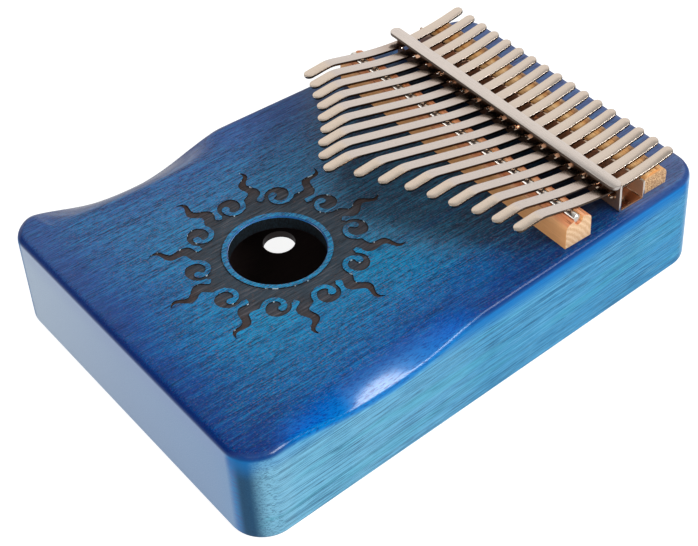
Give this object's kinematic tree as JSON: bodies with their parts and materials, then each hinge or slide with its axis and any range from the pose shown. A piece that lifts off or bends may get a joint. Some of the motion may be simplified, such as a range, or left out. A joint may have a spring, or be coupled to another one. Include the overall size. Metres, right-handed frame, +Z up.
{
  "type": "mbira",
  "caption": "Thumb piano: stained hollow soundbox with thumb scoops, a round sound hole in an engraved sun and a fan of sprung steel keys held by a channel bracket over two wooden bridges.",
  "frame": {"origin": "centre of the underside of the soundbox", "axes": "+X across the width, +Y along the length towards the bridges, +Z up out of the soundboard"},
  "size_m": [0.1376, 0.19, 0.0601],
  "materials": {
    "stained_body": "blue stained hardwood under satin lacquer, darker towards the edges",
    "back_wood": "blue stained plywood, satin",
    "bridge_wood": "plain pale hardwood, oiled",
    "rod_steel": "drawn steel rod",
    "bracket_steel": "nickel-plated sheet steel, semi-bright",
    "screw_steel": "zinc-plated screws",
    "key_steel": "rolled spring steel, semi-bright"
  },
  "bodies": {
    "soundbox": {"body_shell": "stained_body", "back_plate": "back_wood", "front_bridge": "bridge_wood", "bridge_rod": "rod_steel", "rear_bridge": "bridge_wood", "tine_bracket": "bracket_steel", "pressure_bar": "bracket_steel", "bracket_screws": "screw_steel"},
    "root_01": {"key_01_root": "key_steel"},
    "tongue_01": {"key_01_tongue": "key_steel"},
    "root_02": {"key_02_root": "key_steel"},
    "tongue_02": {"key_02_tongue": "key_steel"},
    "root_03": {"key_03_root": "key_steel"},
    "tongue_03": {"key_03_tongue": "key_steel"},
    "root_04": {"key_04_root": "key_steel"},
    "tongue_04": {"key_04_tongue": "key_steel"},
    "root_05": {"key_05_root": "key_steel"},
    "tongue_05": {"key_05_tongue": "key_steel"},
    "root_06": {"key_06_root": "key_steel"},
    "tongue_06": {"key_06_tongue": "key_steel"},
    "root_07": {"key_07_root": "key_steel"},
    "tongue_07": {"key_07_tongue": "key_steel"},
    "root_08": {"key_08_root": "key_steel"},
    "tongue_08": {"key_08_tongue": "key_steel"},
    "root_09": {"key_09_root": "key_steel"},
    "tongue_09": {"key_09_tongue": "key_steel"},
    "root_10": {"key_10_root": "key_steel"},
    "tongue_10": {"key_10_tongue": "key_steel"},
    "root_11": {"key_11_root": "key_steel"},
    "tongue_11": {"key_11_tongue": "key_steel"},
    "root_12": {"key_12_root": "key_steel"},
    "tongue_12": {"key_12_tongue": "key_steel"},
    "root_13": {"key_13_root": "key_steel"},
    "tongue_13": {"key_13_tongue": "key_steel"},
    "root_14": {"key_14_root": "key_steel"},
    "tongue_14": {"key_14_tongue": "key_steel"},
    "root_15": {"key_15_root": "key_steel"},
    "tongue_15": {"key_15_tongue": "key_steel"},
    "root_16": {"key_16_root": "key_steel"},
    "tongue_16": {"key_16_tongue": "key_steel"},
    "root_17": {"key_17_root": "key_steel"},
    "tongue_17": {"key_17_tongue": "key_steel"}
  },
  "joints": [
    {"name": "key_01_pluck", "type": "hinge", "parent": "root_01", "child": "tongue_01", "pos_m": [-0.05066, 0.0395, 0.04777], "axis": [1, 0, 0], "range_deg": [-2, 3], "stiffness_Nm_per_rad": 0.0154},
    {"name": "key_02_pluck", "type": "hinge", "parent": "root_02", "child": "tongue_02", "pos_m": [-0.04414, 0.0395, 0.04777], "axis": [1, 0, 0], "range_deg": [-2, 3], "stiffness_Nm_per_rad": 0.0204},
    {"name": "key_03_pluck", "type": "hinge", "parent": "root_03", "child": "tongue_03", "pos_m": [-0.03762, 0.0395, 0.04777], "axis": [1, 0, 0], "range_deg": [-2, 3], "stiffness_Nm_per_rad": 0.03},
    {"name": "key_04_pluck", "type": "hinge", "parent": "root_04", "child": "tongue_04", "pos_m": [-0.0311, 0.0395, 0.04777], "axis": [1, 0, 0], "range_deg": [-2, 3], "stiffness_Nm_per_rad": 0.0399},
    {"name": "key_05_pluck", "type": "hinge", "parent": "root_05", "child": "tongue_05", "pos_m": [-0.02458, 0.0395, 0.04777], "axis": [1, 0, 0], "range_deg": [-2, 3], "stiffness_Nm_per_rad": 0.0586},
    {"name": "key_06_pluck", "type": "hinge", "parent": "root_06", "child": "tongue_06", "pos_m": [-0.01806, 0.0395, 0.04777], "axis": [1, 0, 0], "range_deg": [-2, 3], "stiffness_Nm_per_rad": 0.0782},
    {"name": "key_07_pluck", "type": "hinge", "parent": "root_07", "child": "tongue_07", "pos_m": [-0.01154, 0.0395, 0.04777], "axis": [1, 0, 0], "range_deg": [-2, 3], "stiffness_Nm_per_rad": 0.115},
    {"name": "key_08_pluck", "type": "hinge", "parent": "root_08", "child": "tongue_08", "pos_m": [-0.00502, 0.0395, 0.04777], "axis": [1, 0, 0], "range_deg": [-2, 3], "stiffness_Nm_per_rad": 0.153},
    {"name": "key_09_pluck", "type": "hinge", "parent": "root_09", "child": "tongue_09", "pos_m": [0.0015, 0.0395, 0.04777], "axis": [1, 0, 0], "range_deg": [-2, 3], "stiffness_Nm_per_rad": 0.181},
    {"name": "key_10_pluck", "type": "hinge", "parent": "root_10", "child": "tongue_10", "pos_m": [0.00802, 0.0395, 0.04777], "axis": [1, 0, 0], "range_deg": [-2, 3], "stiffness_Nm_per_rad": 0.121},
    {"name": "key_11_pluck", "type": "hinge", "parent": "root_11", "child": "tongue_11", "pos_m": [0.01454, 0.0395, 0.04777], "axis": [1, 0, 0], "range_deg": [-2, 3], "stiffness_Nm_per_rad": 0.0903},
    {"name": "key_12_pluck", "type": "hinge", "parent": "root_12", "child": "tongue_12", "pos_m": [0.02106, 0.0395, 0.04777], "axis": [1, 0, 0], "range_deg": [-2, 3], "stiffness_Nm_per_rad": 0.0611},
    {"name": "key_13_pluck", "type": "hinge", "parent": "root_13", "child": "tongue_13", "pos_m": [0.02758, 0.0395, 0.04777], "axis": [1, 0, 0], "range_deg": [-2, 3], "stiffness_Nm_per_rad": 0.0455},
    {"name": "key_14_pluck", "type": "hinge", "parent": "root_14", "child": "tongue_14", "pos_m": [0.0341, 0.0395, 0.04777], "axis": [1, 0, 0], "range_deg": [-2, 3], "stiffness_Nm_per_rad": 0.0339},
    {"name": "key_15_pluck", "type": "hinge", "parent": "root_15", "child": "tongue_15", "pos_m": [0.04062, 0.0395, 0.04777], "axis": [1, 0, 0], "range_deg": [-2, 3], "stiffness_Nm_per_rad": 0.0229},
    {"name": "key_16_pluck", "type": "hinge", "parent": "root_16", "child": "tongue_16", "pos_m": [0.04714, 0.0395, 0.04777], "axis": [1, 0, 0], "range_deg": [-2, 3], "stiffness_Nm_per_rad": 0.0171},
    {"name": "key_17_pluck", "type": "hinge", "parent": "root_17", "child": "tongue_17", "pos_m": [0.05366, 0.0395, 0.04777], "axis": [1, 0, 0], "range_deg": [-2, 3], "stiffness_Nm_per_rad": 0.0115},
    {"name": "key_01_tune", "type": "slide", "parent": "soundbox", "child": "root_01", "axis": [0, -0.995, 0.0995], "range_m": [-0.001, 0.001]},
    {"name": "key_02_tune", "type": "slide", "parent": "soundbox", "child": "root_02", "axis": [0, -0.995, 0.0995], "range_m": [-0.001, 0.001]},
    {"name": "key_03_tune", "type": "slide", "parent": "soundbox", "child": "root_03", "axis": [0, -0.995, 0.0995], "range_m": [-0.001, 0.001]},
    {"name": "key_04_tune", "type": "slide", "parent": "soundbox", "child": "root_04", "axis": [0, -0.995, 0.0995], "range_m": [-0.001, 0.001]},
    {"name": "key_05_tune", "type": "slide", "parent": "soundbox", "child": "root_05", "axis": [0, -0.995, 0.0995], "range_m": [-0.001, 0.001]},
    {"name": "key_06_tune", "type": "slide", "parent": "soundbox", "child": "root_06", "axis": [0, -0.995, 0.0995], "range_m": [-0.001, 0.001]},
    {"name": "key_07_tune", "type": "slide", "parent": "soundbox", "child": "root_07", "axis": [0, -0.995, 0.0995], "range_m": [-0.001, 0.001]},
    {"name": "key_08_tune", "type": "slide", "parent": "soundbox", "child": "root_08", "axis": [0, -0.995, 0.0995], "range_m": [-0.001, 0.001]},
    {"name": "key_09_tune", "type": "slide", "parent": "soundbox", "child": "root_09", "axis": [0, -0.995, 0.0995], "range_m": [-0.001, 0.001]},
    {"name": "key_10_tune", "type": "slide", "parent": "soundbox", "child": "root_10", "axis": [0, -0.995, 0.0995], "range_m": [-0.001, 0.001]},
    {"name": "key_11_tune", "type": "slide", "parent": "soundbox", "child": "root_11", "axis": [0, -0.995, 0.0995], "range_m": [-0.001, 0.001]},
    {"name": "key_12_tune", "type": "slide", "parent": "soundbox", "child": "root_12", "axis": [0, -0.995, 0.0995], "range_m": [-0.001, 0.001]},
    {"name": "key_13_tune", "type": "slide", "parent": "soundbox", "child": "root_13", "axis": [0, -0.995, 0.0995], "range_m": [-0.001, 0.001]},
    {"name": "key_14_tune", "type": "slide", "parent": "soundbox", "child": "root_14", "axis": [0, -0.995, 0.0995], "range_m": [-0.001, 0.001]},
    {"name": "key_15_tune", "type": "slide", "parent": "soundbox", "child": "root_15", "axis": [0, -0.995, 0.0995], "range_m": [-0.001, 0.001]},
    {"name": "key_16_tune", "type": "slide", "parent": "soundbox", "child": "root_16", "axis": [0, -0.995, 0.0995], "range_m": [-0.001, 0.001]},
    {"name": "key_17_tune", "type": "slide", "parent": "soundbox", "child": "root_17", "axis": [0, -0.995, 0.0995], "range_m": [-0.001, 0.001]}
  ]
}
